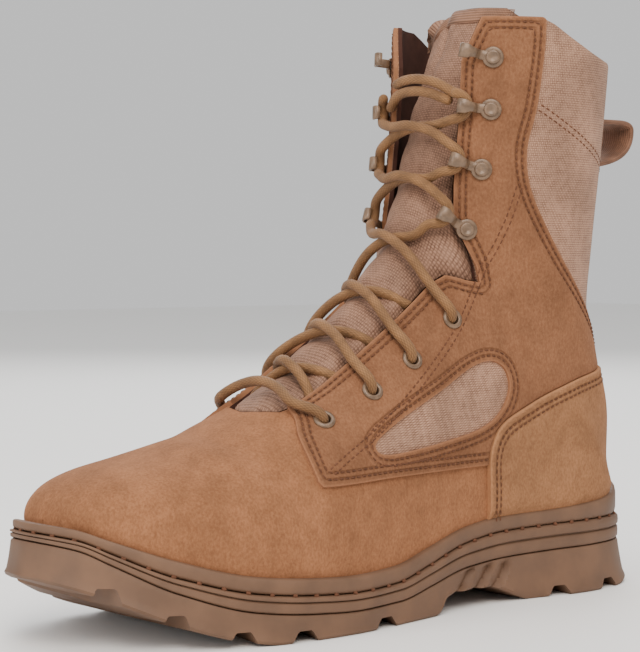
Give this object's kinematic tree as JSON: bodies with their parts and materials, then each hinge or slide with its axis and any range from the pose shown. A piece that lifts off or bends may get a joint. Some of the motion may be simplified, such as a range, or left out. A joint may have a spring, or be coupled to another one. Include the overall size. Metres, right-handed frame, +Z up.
{
  "type": "combat boot",
  "caption": "Laced boot with a tall shaft for the left foot: suede quarters over fabric, lug sole, eyelets below and open hooks above.",
  "frame": {"origin": "middle of the heel's flat spot, on the floor", "axes": "+X towards the boot's lateral side, -Y towards the toe, +Z up"},
  "size_m": [0.1105, 0.3256, 0.2565],
  "materials": {
    "suede": "matte brushed suede, tan brown",
    "nylon": "matte woven nylon, pinkish tan",
    "rubber": "matte moulded rubber, olive brown",
    "webbing": "brown woven webbing",
    "metal": "satin painted metal, tan grey",
    "lace": "braided round lace, golden tan",
    "lining": "matte lining, reddish brown"
  },
  "bodies": {
    "root": {"outsole": "rubber", "midsole": "rubber", "welt": "rubber", "insole": "lining", "upper": "nylon", "tongue": "nylon", "heel_counter": "suede", "quarter_lateral": "suede", "quarter_medial": "suede", "pull_loop": "webbing", "eyelet_lateral_1": "metal", "eyelet_lateral_2": "metal", "eyelet_lateral_3": "metal", "eyelet_lateral_4": "metal", "eyelet_medial_1": "metal", "eyelet_medial_2": "metal", "eyelet_medial_3": "metal", "eyelet_medial_4": "metal", "hook_lateral_1": "metal", "hook_lateral_2": "metal", "hook_lateral_3": "metal", "hook_lateral_4": "metal", "hook_medial_1": "metal", "hook_medial_2": "metal", "hook_medial_3": "metal", "hook_medial_4": "metal", "lace_cross_1": "lace", "lace_cross_2": "lace", "lace_cross_3": "lace", "lace_cross_4": "lace", "lace_cross_5": "lace", "lace_cross_6": "lace", "lace_bar": "lace", "lace_end_lateral": "lace", "lace_end_medial": "lace"}
  },
  "joints": []
}
